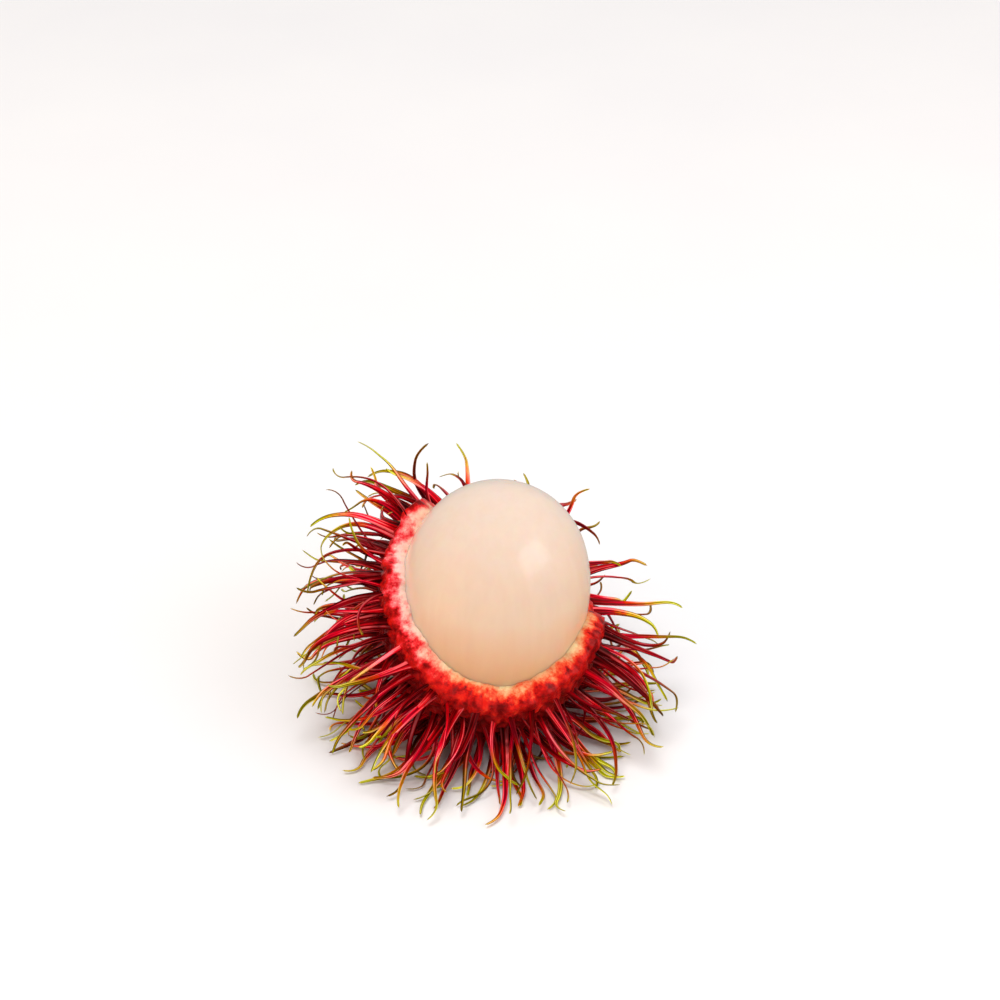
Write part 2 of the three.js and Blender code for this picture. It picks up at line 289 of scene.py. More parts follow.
# ---- The rind -------------------------------------------------------------------------------
# A leathery skin, bright red and glossy, over a thin pale pith. Its upper side was torn away by
# hand, so it ends in a ragged slanting lip of pith. Each spine grows from a low mound on it.

OPENING_ELEVATION = math.radians(54)  # above the horizon
OPENING_AZIMUTH = math.radians(11)  # from -Y towards +X
# The torn edge: angle round the opening, and angle from the bottom of the cup, in degrees.
TORN_EDGE = np.array(
    [
        (0, 65), (30, 66), (60, 72), (95, 77), (108, 82), (127, 103), (148, 98), (172, 104),
        (215, 102), (250, 96), (265, 94), (300, 98), (328, 98), (338, 90), (351, 70), (360, 65),
    ]
)  # fmt: skip
TEAR_WAVES = [(9, 1, 0.6), (17, 2.5, 0.4)]  # waves round the opening, phase, degrees
JAG_HEIGHT = 0.6  # the ragged edge goes this far up and down
JAG_LIFT = 0.5  # of that height, so that it goes mostly up
JAG_LENGTH = 1.9
LIP_SLANT = math.radians(3.5)  # the skin's edge lies this far below the top of the lip
LIP_PROFILE = [(1, 1), (0.5, 0.68), (0.12, 0.3), (0.06, 0)]  # share of the slant, of the thickness
LIP_FIBRE = 0.3  # torn fibres stand out of the lip by this much
LIP_FIBRE_LENGTH = 0.7
LIP_GAP = 0.02  # between the lip's inner edge and the flesh
LIP_TUCK = 0.15  # then the lip turns down this far into the flesh
LIP_CLING = 2.5  # and this far in, the seat has its full gap

LATTICE_SPINES = 425  # that the whole, unpeeled fruit would carry
LATTICE_JITTER = 0.25  # how far one can stand from its place in the spirals
SPINE_LENGTH = (14, 20)  # outside the skin, least and most
SPINE_ROOT_RADIUS = (0.7, 0.95)
SPINE_CURL = 0.8  # how far it can curl to a side of its own
SPINE_LEAN = 0.35  # and how far it can lean from upright at its root
SPINE_TWIST = 0.9  # how far its wide side can be turned from level, in radians
EDGE_MARGIN = np.radians((5.5, 8))  # below the torn edge, free of spines: on the -X side, elsewhere
FOOT_MARGIN = 0.6  # above the surface that the fruit lies on, free of spines
SEED = 20260

FINE_LATTICE = 1500  # thinner, younger spines fill in between
FINE_LENGTH = (10, 18)
FINE_ROOT_RADIUS = (0.42, 0.66)
FINE_CURL = 1.5  # they curl and lean further
FINE_LEAN = 0.6
FINE_CLEARANCE = 1.45  # from the root of any other spine
FINE_EDGE_MARGIN = np.radians((4.2, 6.6))  # they grow closer to the torn edge

MOUND_HEIGHT = 0.6  # round each root
MOUND_RADIUS = 1.5
GROOVE_DEPTH = 0.28  # the mounds meet in grooves
GROOVE_WIDTH = 0.55
GROOVE_REACH = 2.6  # from a root, where they fade
GROOVE_PAINTED_SHADE = 0.75  # how far painted shade darkens the red in them
WARTS = [(1.9, 0.2, 3), (0.75, 0.15, 4)]  # length, height and seed of the skin's unevenness

RIND_PATTERNS = {  # each one's size, detail and roughness
    "blotches": (4, 4, 0.6),
    "tear_marks": (1.7, 6, 0.7),
    "patches": (3.4, 1, 0.5),
    "band_blotches": (1.7, 5, 0.62),
    "grain": (0.35, 4, 0.65),
}
GRAIN_DEPTH = 0.16
STREAK_WIDTH = 0.8  # of the red and pale streaks that cross the lip
STREAK_SHORTENING = 0.22  # makes them longer than wide
TORN_DEPTH = 4.6  # how far the tear marks carry pith and red into each other
PATCH_DEPTH = 2.4  # and how far the patches do
SIDE_EDGES = (-15, -5)  # along X: left of the first the pith is pink, right of the second peach
SIDE_SHIFT = (-0.6, -1.2)  # how far the pith's edge lies inwards there
PITH_EDGE = (3.5, 6.1)  # the pith begins to show, and has its palest colour
PITH_START = 0.12  # by this share of pith its colours have replaced the skin's
PITH_SOFTNESS = 0.6  # the share of the light that sinks into it
BRIGHT_BAND_EDGE = (-0.6, 2.4)  # the brighter band of skin below it begins, and is at its brightest
RIND_ROUGHNESS = (0.3, 0.55)  # of the waxy skin and of the torn pith
FAR_FROM_EDGE = 30  # at both ends of the rind's skin
CUP_SECTORS = 400  # of the mesh, round the opening
SKIN_RINGS = 170
LIP_RINGS = 14
SEAT_RINGS = 30

opening_out = np.array(
    [
        math.cos(OPENING_ELEVATION) * math.sin(OPENING_AZIMUTH),
        -math.cos(OPENING_ELEVATION) * math.cos(OPENING_AZIMUTH),
        math.sin(OPENING_ELEVATION),
    ]
)
opening_right = np.array([math.cos(OPENING_AZIMUTH), math.sin(OPENING_AZIMUTH), 0])
opening_up = np.cross(opening_out, opening_right)


def cup_direction(cup_angle, around):
    """Unit directions, by angle from the bottom of the cup and angle round the opening."""
    return (
        np.multiply.outer(-np.cos(cup_angle), opening_out)
        + np.multiply.outer(np.sin(cup_angle) * np.cos(around), opening_right)
        + np.multiply.outer(np.sin(cup_angle) * np.sin(around), opening_up)
    )


def torn_edge(around):
    """How far up the cup the rind reaches, at angles round the opening."""
    degrees = np.degrees(around) % 360
    after = np.clip(np.searchsorted(TORN_EDGE[:, 0], degrees, "right"), 1, len(TORN_EDGE) - 1)
    (from_at, from_reach), (to_at, to_reach) = TORN_EDGE[after - 1].T, TORN_EDGE[after].T
    share = (degrees - from_at) / (to_at - from_at)
    reach = from_reach + (to_reach - from_reach) * share * share * (3 - 2 * share)
    return np.radians(reach + sum(h * np.sin(n * around + phase) for n, phase, h in TEAR_WAVES))


def seeded_random(seed):
    """A seeded generator, so that every run grows the same fruit."""
    state = seed
    whole = 0xFFFFFFFF
    while True:
        state = (state + 0x6D2B79F5) & whole
        mixed = ((state ^ (state >> 15)) * (state | 1)) & whole
        mixed = ((mixed + ((mixed ^ (mixed >> 7)) * (mixed | 61) & whole)) & whole) ^ mixed
        yield (mixed ^ (mixed >> 14)) / 2**32


def grow_roots(count, seed, length, radius, curl, lean, margins):
    """Where spines stand, in spirals round the long axis as seeds do in a head, and what is each
    one's own. Those that would stand on the torn-away side are left out."""
    random = seeded_random(seed)
    golden_angle = math.pi * (3 - math.sqrt(5))
    roots = []
    for i in range(count):
        height = 1 - 2 * (i + 0.5 + LATTICE_JITTER * (2 * next(random) - 1)) / count
        spiral = i * golden_angle + LATTICE_JITTER * (next(random) - 0.5)
        own = {
            "length": length[0] + (length[1] - length[0]) * next(random),
            "radius": radius[0] + (radius[1] - radius[0]) * next(random),
            "curl": curl * next(random),
            "curl_side": 2 * math.pi * next(random),
            "twist": SPINE_TWIST * (2 * next(random) - 1),
            "lean": lean * next(random),
            "lean_side": 2 * math.pi * next(random),
        }
        direction = lattice_direction(np.array(height), spiral)
        cup_angle = math.acos(max(-1, min(1, -direction @ opening_out)))
        around = math.atan2(direction @ opening_up, direction @ opening_right)
        place = direction * egg_radius(skin, direction) + centre
        margin = margins[1] - (margins[1] - margins[0]) * max(0, -math.cos(around))
        if cup_angle < torn_edge(np.array(around)) - margin and place[2] > FOOT_MARGIN:
            roots.append({**own, "direction": direction, "place": place})
    return roots


long_roots = grow_roots(
    LATTICE_SPINES, SEED, SPINE_LENGTH, SPINE_ROOT_RADIUS, SPINE_CURL, SPINE_LEAN, EDGE_MARGIN
)
fine_roots = []
for root in grow_roots(
    FINE_LATTICE, SEED + 1, FINE_LENGTH, FINE_ROOT_RADIUS, FINE_CURL, FINE_LEAN, FINE_EDGE_MARGIN
):
    others = np.array([other["place"] for other in long_roots + fine_roots])
    if np.linalg.norm(others - root["place"], axis=1).min() > FINE_CLEARANCE:
        fine_roots.append(root)

root_directions = np.array([root["direction"] for root in long_roots + fine_roots])


def skin_relief(directions):
    """How far mounds, grooves and warts raise the skin, and how deep a place lies in a groove."""
    plain = egg_radius(skin, directions)
    away = plain[..., None] * np.arccos(np.clip(directions @ root_directions.T, -1, 1))
    nearest, second = np.moveaxis(np.partition(away, 1, axis=-1)[..., :2], -1, 0)
    groove = np.exp(-(((second - nearest) / GROOVE_WIDTH) ** 2) - (nearest / GROOVE_REACH) ** 2)
    relief = MOUND_HEIGHT * np.exp(-((nearest / MOUND_RADIUS) ** 2)) - GROOVE_DEPTH * groove
    for length, size, seed in WARTS:
        relief += size * ripples(directions * plain[..., None], length, seed)
    return relief, groove


around = 2 * np.pi * np.arange(CUP_SECTORS) / CUP_SECTORS
edge = torn_edge(around)
edge_places = cup_direction(edge, around) * skin[0]
edge = edge + JAG_HEIGHT / skin[0] * (JAG_LIFT + ripples(edge_places, JAG_LENGTH, 5, 3))
slant, thickness = np.array(LIP_PROFILE).T
lip_curve = np.polyfit(thickness, slant, 3)  # the curve of third degree through all four

# The outer skin rises from the bottom of the cup to its edge, and is flat where it stands.
rings, beyond_edge, grooves = [], [], []  # beyond_edge: millimetres inwards from the skin's edge
for share in np.arange(1, SKIN_RINGS + 1) / SKIN_RINGS:
    directions = cup_direction((edge - LIP_SLANT) * share, around)
    relief, groove = skin_relief(directions)
    radius = egg_radius(skin, directions) + relief
    floor_radius = centre[2] / np.maximum(-directions[:, 2], 1e-6)
    radius = np.where(directions[:, 2] < 0, np.minimum(radius, floor_radius), radius)
    rings.append(directions * radius[:, None] + centre)
    beyond_edge.append((share - 1) * (edge - LIP_SLANT) * skin[0])
    grooves.append(groove)
# The torn lip turns inwards from there, over the thickness of the rind, to the flesh.
for share in np.arange(1, LIP_RINGS + 1) / LIP_RINGS:
    directions = cup_direction(edge - LIP_SLANT * np.polyval(lip_curve, 1 - share), around)
    inner, outer = flesh_radius(directions) + LIP_GAP, egg_radius(skin, directions)
    fibre = LIP_FIBRE * ripples(directions * outer[:, None], LIP_FIBRE_LENGTH, 6, 3)
    relief = skin_relief(directions)[0] * (1 - share) + fibre * math.sin(math.pi * share)
    rings.append(directions * (inner + (outer - inner) * (1 - share) + relief)[:, None] + centre)
    beyond_edge.append(np.full(CUP_SECTORS, share * RIND_THICKNESS))
    grooves.append(np.zeros(CUP_SECTORS))
# The seat goes down again, close to the flesh at first, to the bottom of the cup.
seat_edge = edge - LIP_SLANT * slant[-1]
for share in np.arange(SEAT_RINGS, 0, -1) / SEAT_RINGS:
    directions = cup_direction(seat_edge * share, around)
    inwards = (1 - share) * seat_edge * skin[0]
    cling = np.exp(-inwards / LIP_CLING)
    radius = egg_radius(seat, directions) * (1 - cling)
    radius += (flesh_radius(directions) - LIP_TUCK) * cling
    rings.append(directions * radius[:, None] + centre)
    beyond_edge.append(RIND_THICKNESS + inwards)
    grooves.append(np.zeros(CUP_SECTORS))
bottom = -opening_out
points, faces = closed_rings(
    centre + bottom * min(egg_radius(skin, bottom), centre[2] / -bottom[2]),
    np.array(rings),
    centre + bottom * egg_radius(seat, bottom),
)

# Skin of the rind: a thin waxy skin on leathery tissue. It is red with blotches towards orange,
# darkened by painted shade in the grooves between the mounds, and its wax gives small broken
# highlights. The torn pith is dull, pale and fibrous, and the red has run into it in streaks.
rind_material = bpy.data.materials.new("waxy_rind_and_torn_pith")
rind_material.use_nodes = True
tree = rind_material.node_tree
tree.nodes.clear()
place = add_node(tree, "ShaderNodeTexCoord", {}).outputs["Object"]
marks = {
    name: add_node(
        tree, "ShaderNodeAttribute", {}, attribute_name=name, attribute_type="GEOMETRY"
    ).outputs
    for name in ("beyond_edge", "groove", "lip_place")
}
patterns = {
    name: add_node(
        tree,
        "ShaderNodeTexNoise",
        {"Vector": place, "Scale": 1 / (size * MM), "Detail": detail, "Roughness": roughness},
    ).outputs[0]
    for name, (size, detail, roughness) in RIND_PATTERNS.items()
}
skin_tint = add_node(
    tree,
    "ShaderNodeValToRGB",
    {"Fac": patterns["blotches"]},
    stops=[(0.3, "#640207"), (0.46, "#860409"), (0.58, "#A8070B"), (0.72, "#C41A0F")],
).outputs[0]
# Painted shade: the red is darkened towards near black in the grooves between the mounds.
groove_painted_shade = add_node(
    tree, "ShaderNodeMath", {0: marks["groove"]["Fac"], 1: GROOVE_PAINTED_SHADE}, operation="MULTIPLY"
).outputs[0]
skin_colour = add_node(
    tree,
    "ShaderNodeMix",
    {0: groove_painted_shade, 6: skin_tint, 7: colour("#4A0004")},
    data_type="RGBA",
).outputs[2]
# The red and the pith run into each other in streaks that point away from the edge.
streaks = add_node(
    tree,
    "ShaderNodeTexNoise",
    {
        "Vector": marks["lip_place"]["Vector"],
        "Scale": 1 / STREAK_WIDTH,
        "Detail": 3,
        "Roughness": 0.6,
    },
).outputs[0]
streaked = add_node(
    tree, "ShaderNodeMath", {0: streaks, 1: marks["beyond_edge"]["Fac"]}, operation="ADD"
).outputs[0]
torn_depth = add_node(
    tree,
    "ShaderNodeMath",
    {0: patterns["tear_marks"], 1: TORN_DEPTH, 2: streaked},
    operation="MULTIPLY_ADD",
).outputs[0]
# More of the pith shows on the side from which the skin was pulled off. It tore off in patches,
# so the pale band is here wider and there taken up by the red.
side = add_node(tree, "ShaderNodeSeparateXYZ", {0: place}).outputs["X"]
side_share = add_node(
    tree,
    "ShaderNodeMapRange",
    {
        "Value": side,
        "From Min": SIDE_EDGES[0] * MM,
        "From Max": SIDE_EDGES[1] * MM,
        "To Min": 0,
        "To Max": 1,
    },
).outputs[0]
side_shift = add_node(
    tree,
    "ShaderNodeMapRange",
    {"Value": side_share, "To Min": SIDE_SHIFT[0], "To Max": SIDE_SHIFT[1]},
).outputs[0]
patchy_shift = add_node(
    tree,
    "ShaderNodeMath",
    {0: patterns["patches"], 1: PATCH_DEPTH, 2: side_shift},
    operation="MULTIPLY_ADD",
).outputs[0]
pith_depth = add_node(
    tree, "ShaderNodeMath", {0: torn_depth, 1: patchy_shift}, operation="ADD"
).outputs[0]
pith_share, bright_band_share = (
    add_node(
        tree,
        "ShaderNodeMapRange",
        {"Value": pith_depth, "From Min": start, "From Max": end, "To Min": 0, "To Max": 1},
    ).outputs[0]
    for start, end in (PITH_EDGE, BRIGHT_BAND_EDGE)
)
# Just below the torn edge the skin is a brighter red, and then it is crimson.
bright_band_tint = add_node(
    tree,
    "ShaderNodeValToRGB",
    {"Fac": patterns["band_blotches"]},
    stops=[(0.36, "#6C0204"), (0.5, "#B80A0A"), (0.62, "#DE1A0E"), (0.76, "#EC4E2C")],
).outputs[0]
banded_skin_colour = add_node(
    tree, "ShaderNodeMix", {0: bright_band_share, 6: skin_colour, 7: bright_band_tint}, data_type="RGBA"
).outputs[2]
# The pith is pinkish white on that side, and peach on the lower side.
pink_pith = add_node(
    tree,
    "ShaderNodeValToRGB",
    {"Fac": pith_share},
    stops=[(0.0, "#D80C14"), (0.2, "#E02C38"), (0.42, "#EE7C7C"), (0.7, "#F8CCC2")],
).outputs[0]
peach_pith = add_node(
    tree,
    "ShaderNodeValToRGB",
    {"Fac": pith_share},
    stops=[
        (0.0, "#D40806"),
        (0.2, "#E0200E"),
        (0.4, "#EE5C34"),
        (0.6, "#F29E6C"),
        (0.8, "#F4BE8C"),
        (1.0, "#F8D8A4"),
    ],
).outputs[0]
pith_colour = add_node(
    tree,
    "ShaderNodeMix",
    {0: side_share, 6: pink_pith, 7: peach_pith},
    data_type="RGBA",
).outputs[2]
is_pith = add_node(
    tree,
    "ShaderNodeMapRange",
    {"Value": pith_share, "From Min": 0, "From Max": PITH_START, "To Min": 0, "To Max": 1},
).outputs[0]
rind_colour = add_node(
    tree, "ShaderNodeMix", {0: is_pith, 6: banded_skin_colour, 7: pith_colour}, data_type="RGBA"
).outputs[2]
rind_roughness = add_node(
    tree,
    "ShaderNodeMapRange",
    {"Value": is_pith, "To Min": RIND_ROUGHNESS[0], "To Max": RIND_ROUGHNESS[1]},
).outputs[0]
soft_share = add_node(
    tree, "ShaderNodeMath", {0: pith_share, 1: PITH_SOFTNESS}, operation="MULTIPLY"
).outputs[0]
rind_bump = add_node(
    tree,
    "ShaderNodeBump",
    {"Height": patterns["grain"], "Distance": GRAIN_DEPTH * MM, "Strength": 0.8},
).outputs[0]
rind_shader = add_node(
    tree,
    "ShaderNodeBsdfPrincipled",
    {
        "Base Color": rind_colour,
        "Roughness": rind_roughness,
        "IOR": 1.4,
        "Subsurface Weight": soft_share,
        "Subsurface Radius": (1.0, 0.4, 0.25),
        "Subsurface Scale": 1.2 * MM,
        "Specular Tint": colour("#FFB8A8"),
        "Coat Weight": 0.08,
        "Coat Roughness": 0.2,
        "Normal": rind_bump,
    },
)
add_node(tree, "ShaderNodeOutputMaterial", {"Surface": rind_shader.outputs[0]})

beyond_values = np.concatenate(
    [[-FAR_FROM_EDGE], np.array(beyond_edge).ravel(), [FAR_FROM_EDGE]]
)
groove_values = np.concatenate([[0], np.array(grooves).ravel(), [0]])
edge_around = np.concatenate([[0], np.tile(around, len(rings)), [0]])
lip_places = np.stack(
    [
        skin[0] * np.cos(edge_around),
        skin[0] * np.sin(edge_around),
        STREAK_SHORTENING * beyond_values,
    ],
    axis=1,
)
rind = add_piece(
    "rind_skin",
    points,
    faces,
    rind_material,
    {"beyond_edge": beyond_values, "groove": groove_values, "lip_place": lip_places},
)
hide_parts("rind")
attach(rind, "root")

# ---- The spines -----------------------------------------------------------------------------
# Soft, flat, tapering hairs that grow out of the skin: crimson, then pink, and yellowish green at
# the thin hooked tip, with painted shade darkening the root where it leaves the skin. They sag and
# curl, and lie down where they meet a table.

SPINE_ROOT_DEPTH = 1.6  # its centreline starts this deep in the rind
SPINE_BURIED = 0.7  # how much of the root is there below the skin
SPINE_WIDTH = 0.95  # of the root radius, above the foot
SPINE_TIP_RADIUS = 0.17
SPINE_TAPER = 1.1  # 1 would be a straight taper, and more keeps the spine wide for longer
SPINE_FOOT = 0.3  # how much wider the foot is on each side
SPINE_FOOT_LENGTH = 0.05  # share of the length in which the foot dies away
SPINE_FLATNESS = 0.42  # its thickness over its width
SPINE_RIBS = (3, 0.22)  # ribs along a spine, and their height as a share of its radius
SPINE_RIB_TWIST = 1.5  # radians from root to tip
SPINE_RIB_SPREAD = 6  # radians between the ribs of one spine and another's
SPINE_DROOP = 1.1  # how far its own weight turns it down, as a share of its length
SPINE_SWEEP = 0.1  # how far they are all swept towards -X
SPINE_CURL_TURN = 2  # how far a curl of 1 turns it
SPINE_KINKS = 5  # along its length
SPINE_KINK = 5  # how far its heading wanders
NOISE_STRIDES = (91, 17.3)  # keep the kinks of spines, and of the three directions, apart
HOOK_START = 0.8  # share of the length at which the tip begins to hook
HOOK_TURN = (0.5, 2.8)
LANDING_HEIGHT = 4  # a falling spine starts to flatten out this high above the surface
FLOOR_GAP = 0.12  # its centreline stays its own radius and this far above the surface
STRAND_WIDTH = 0.45
STRAND_DEPTH = 0.12
STRAND_EDGES = (0.42, 0.64)  # in their noise: the darkest strands and the palest
STRAND_PAINTED_LIGHT = (0.24, 1.75)  # how light they are painted: shade in the darkest, highlight in the palest
PAINTED_HIGHLIGHT_EDGES = (0.54, 0.66)  # the colour fades only in the palest, the painted highlights
PAINTED_HIGHLIGHT_SATURATIONS = (1.12, 0.86)
STRAND_SHORTENING = 0.05  # makes the strands of a spine long
STRAND_STRIDE = 50  # keeps the strands of spines apart
FLECK_SIZE = 1.3
FLECK_SHIFT = 0.07  # share of the length by which the colours' borders are uneven
GREENING = (-0.27, 0.46)  # how far a spine's colours are shifted to green: least, and up from it
AGEING = (0.85, 1.8)  # the most that a spine is darkened by age, and how few are


def egg_normal(egg, direction):
    """The way out of an egg's surface, at a unit direction from the centre."""
    along = direction @ long_axis
    across = direction - along * long_axis
    half_length = egg[2] if along < 0 else egg[1]
    slope_along = math.copysign(abs(along) ** (FULLNESS - 1) / half_length**FULLNESS, along)
    slope_across = np.linalg.norm(across) ** (FULLNESS - 2) / egg[0] ** FULLNESS
    normal = across * slope_across + long_axis * slope_along
    return normal / np.linalg.norm(normal)


def sideways(root, angle):
    """A sideways direction at a spine's foot, turned by an angle from level."""
    normal = egg_normal(skin, root["direction"])
    level = np.cross(normal, long_axis)
    level /= np.linalg.norm(level)
    return level * math.cos(angle) + np.cross(level, normal) * math.sin(angle)


def spine_radius(root, share):
    """A spine's half-width at a share of its length. Its foot flares where it leaves the skin."""
    body = (root["radius"] * SPINE_WIDTH - SPINE_TIP_RADIUS) * (1 - share**SPINE_TAPER)
    above_skin = share - SPINE_ROOT_DEPTH / (root["length"] + SPINE_ROOT_DEPTH)
    foot = SPINE_FOOT * math.exp(-max(0, above_skin) / SPINE_FOOT_LENGTH)
    return SPINE_TIP_RADIUS + body + foot


def spine_line(root, steps, hook, wander):
    """A spine's centreline. It leaves the skin more or less upright, is turned by its weight and
    its own curl, and comes down flat on the surface below. Its tip hooks."""
    heading = egg_normal(skin, root["direction"])
    heading = heading + sideways(root, root["lean_side"]) * root["lean"]
    heading /= np.linalg.norm(heading)
    turning = np.array([-SPINE_SWEEP, 0, -SPINE_DROOP])
    turning = turning + sideways(root, root["curl_side"]) * SPINE_CURL_TURN * root["curl"]
    hook_side = sideways(root, 2 * math.pi * hook)
    hook_turn = HOOK_TURN[0] + (HOOK_TURN[1] - HOOK_TURN[0]) * wander
    step = (root["length"] + SPINE_ROOT_DEPTH) / steps
    point = root["place"] - heading * SPINE_ROOT_DEPTH
    line = []
    for k in range(steps + 1):
        share = k / steps
        floor = spine_radius(root, share) + FLOOR_GAP
        point[2] = max(point[2], floor)
        line.append(point.copy())
        heading = heading + turning * 2 * share / steps
        if share > HOOK_START:
            heading = heading + hook_side * hook_turn / steps / (1 - HOOK_START)
        spot = share * SPINE_KINKS, wander * NOISE_STRIDES[0]
        drift = [noise.noise(Vector((*spot, lane * NOISE_STRIDES[1]))) for lane in range(3)]
        heading = heading + np.array(drift) * SPINE_KINK * share / steps
        heading = heading / np.linalg.norm(heading)
        room = (point[2] - floor) / LANDING_HEIGHT
        if heading[2] < -room:
            level_share = math.sqrt(1 - room * room) / math.hypot(heading[0], heading[1])
            heading = np.array([heading[0] * level_share, heading[1] * level_share, -room])
        point = point + heading * step
    return np.array(line)


def spine_skin(root, steps, sides, hook, wander):
    """A spine's points and faces, and at each point the share of its length and its place among
    the strands."""
    line = spine_line(root, steps, hook, wander)
    tangents = np.gradient(line, axis=0)
    tangents /= np.linalg.norm(tangents, axis=1)[:, None]
    side = sideways(root, root["twist"])
    angles = 2 * np.pi * np.arange(sides) / sides
    ribs, rib_height = SPINE_RIBS
    first = int((SPINE_ROOT_DEPTH - SPINE_BURIED) / (root["length"] + SPINE_ROOT_DEPTH) * steps)
    rings = []
    for k in range(first, steps):
        side = side - tangents[k] * (side @ tangents[k])
        side /= np.linalg.norm(side)
        thin = np.cross(tangents[k], side)
        share = k / steps
        rib_turn = SPINE_RIB_TWIST * share + wander * SPINE_RIB_SPREAD
        ridge = 1 + rib_height * np.cos(ribs * angles + rib_turn)
        radius = spine_radius(root, share) * ridge
        rings.append(
            line[k]
            + np.outer(radius * np.cos(angles), side)
            + np.outer(radius * SPINE_FLATNESS * np.sin(angles), thin)
        )
    half_step = (line[first + 1] - line[first]) / 2
    points, faces = closed_rings(line[first] - half_step, np.array(rings), line[-1])
    shares = np.concatenate([[0], np.repeat(np.arange(first, steps) / steps, sides), [1]])
    turns = np.concatenate([[0], np.tile(angles, steps - first), [0]])
    strand_places = np.stack(
        [
            root["radius"] * np.cos(turns),
            root["radius"] * np.sin(turns),
            STRAND_SHORTENING * root["length"] * shares + wander * STRAND_STRIDE,
        ],
        axis=1,
    )
    return points, faces, shares, strand_places


# Spine: the same waxy skin drawn out into a soft hair of long strands. It is smooth along its
# length, so it has a long soft highlight; its pale strands add painted highlights along it, and the
# dark ones painted shade.
spine_material = bpy.data.materials.new("waxy_spine")
spine_material.use_nodes = True
tree = spine_material.node_tree
tree.nodes.clear()
place = add_node(tree, "ShaderNodeTexCoord", {}).outputs["Object"]
marks = {
    name: add_node(
        tree, "ShaderNodeAttribute", {}, attribute_name=name, attribute_type="GEOMETRY"
    ).outputs
    for name in ("along", "greening", "age", "strand_place")
}
flecks = add_node(
    tree,
    "ShaderNodeTexNoise",
    {"Vector": place, "Scale": 1 / (FLECK_SIZE * MM), "Detail": 3, "Roughness": 0.6},
).outputs[0]
fleck_shift = add_node(
    tree,
    "ShaderNodeMapRange",
    {
        "Value": flecks,
        "From Min": 0.3,
        "From Max": 0.7,
        "To Min": -FLECK_SHIFT,
        "To Max": FLECK_SHIFT,
    },
).outputs[0]
uneven_along = add_node(
    tree, "ShaderNodeMath", {0: marks["along"]["Fac"], 1: fleck_shift}, operation="ADD"
).outputs[0]
turned = add_node(
    tree, "ShaderNodeMath", {0: uneven_along, 1: marks["greening"]["Fac"]}, operation="ADD"
).outputs[0]
# The ramp starts near black-red at the root: painted shade where the spine leaves the skin among
# the others.
spine_tint = add_node(
    tree,
    "ShaderNodeValToRGB",
    {"Fac": turned},
    stops=[
        (0.0, "#4C0204"),
        (0.12, "#A8040C"),
        (0.3, "#D40E1C"),
        (0.5, "#E03446"),
        (0.65, "#DA6A42"),
        (0.76, "#D0A036"),
        (0.9, "#CCCC3A"),
    ],
).outputs[0]
aged_tint = add_node(
    tree,
    "ShaderNodeMix",
    {0: marks["age"]["Fac"], 6: spine_tint, 7: colour("#5A0208")},
    data_type="RGBA",
).outputs[2]
# Strands run the length of a spine: the pale ones are painted highlights, and the darker, deeper
# red ones between them painted shade.
strands = add_node(
    tree,
    "ShaderNodeTexNoise",
    {
        "Vector": marks["strand_place"]["Vector"],
        "Scale": 1 / STRAND_WIDTH,
        "Detail": 1,
        "Roughness": 0.5,
    },
).outputs[0]
painted_strand_light = add_node(
    tree,
    "ShaderNodeMapRange",
    {
        "Value": strands,
        "From Min": STRAND_EDGES[0],
        "From Max": STRAND_EDGES[1],
        "To Min": STRAND_PAINTED_LIGHT[0],
        "To Max": STRAND_PAINTED_LIGHT[1],
    },
).outputs[0]
painted_highlight_saturation = add_node(
    tree,
    "ShaderNodeMapRange",
    {
        "Value": strands,
        "From Min": PAINTED_HIGHLIGHT_EDGES[0],
        "From Max": PAINTED_HIGHLIGHT_EDGES[1],
        "To Min": PAINTED_HIGHLIGHT_SATURATIONS[0],
        "To Max": PAINTED_HIGHLIGHT_SATURATIONS[1],
    },
).outputs[0]
spine_colour = add_node(
    tree,
    "ShaderNodeHueSaturation",
    {"Color": aged_tint, "Value": painted_strand_light, "Saturation": painted_highlight_saturation},
).outputs[0]
spine_bump = add_node(
    tree, "ShaderNodeBump", {"Height": strands, "Distance": STRAND_DEPTH * MM, "Strength": 0.6}
).outputs[0]
spine_shader = add_node(
    tree,
    "ShaderNodeBsdfPrincipled",
    {
        "Base Color": spine_colour,
        "Roughness": 0.28,
        "IOR": 1.42,
        "Specular IOR Level": 0.2,
        "Specular Tint": colour("#FFB0A0"),
        "Normal": spine_bump,
    },
)
add_node(tree, "ShaderNodeOutputMaterial", {"Surface": spine_shader.outputs[0]})

SPINE_PIECES = (  # name, roots, steps and sides
    ("long_spines", long_roots, 40, 9),
    ("fine_spines", fine_roots, 32, 7),
)
random = seeded_random(SEED + 2)
for piece_name, roots, steps, sides in SPINE_PIECES:
    all_points, all_faces = [], []
    values = {"along": [], "greening": [], "age": [], "strand_place": []}
    count = 0
    for root in roots:
        hook, wander = next(random), next(random)
        points, faces, shares, strand_places = spine_skin(root, steps, sides, hook, wander)
        all_points.append(points)
        all_faces += [tuple(i + count for i in face) for face in faces]
        greening = GREENING[1] * next(random) + GREENING[0]
        age = AGEING[0] * next(random) ** AGEING[1]
        values["along"].append(shares)
        values["greening"].append(np.full(len(points), greening))
        values["age"].append(np.full(len(points), age))
        values["strand_place"].append(strand_places)
        count += len(points)
    joined_values = {name: np.concatenate(parts) for name, parts in values.items()}
    all_points = np.concatenate(all_points)
    spines = add_piece(piece_name, all_points, all_faces, spine_material, joined_values)
    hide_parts("rind")
    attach(spines, "root")

# ---- The table, the light and the camera ----------------------------------------------------
# A white table top that the fruit lies on, under a wide overhead softbox. A window to the right
# gives the flesh its one highlight, and warm reflectors fill in the shade on both sides. The camera
# looks down through a long lens.

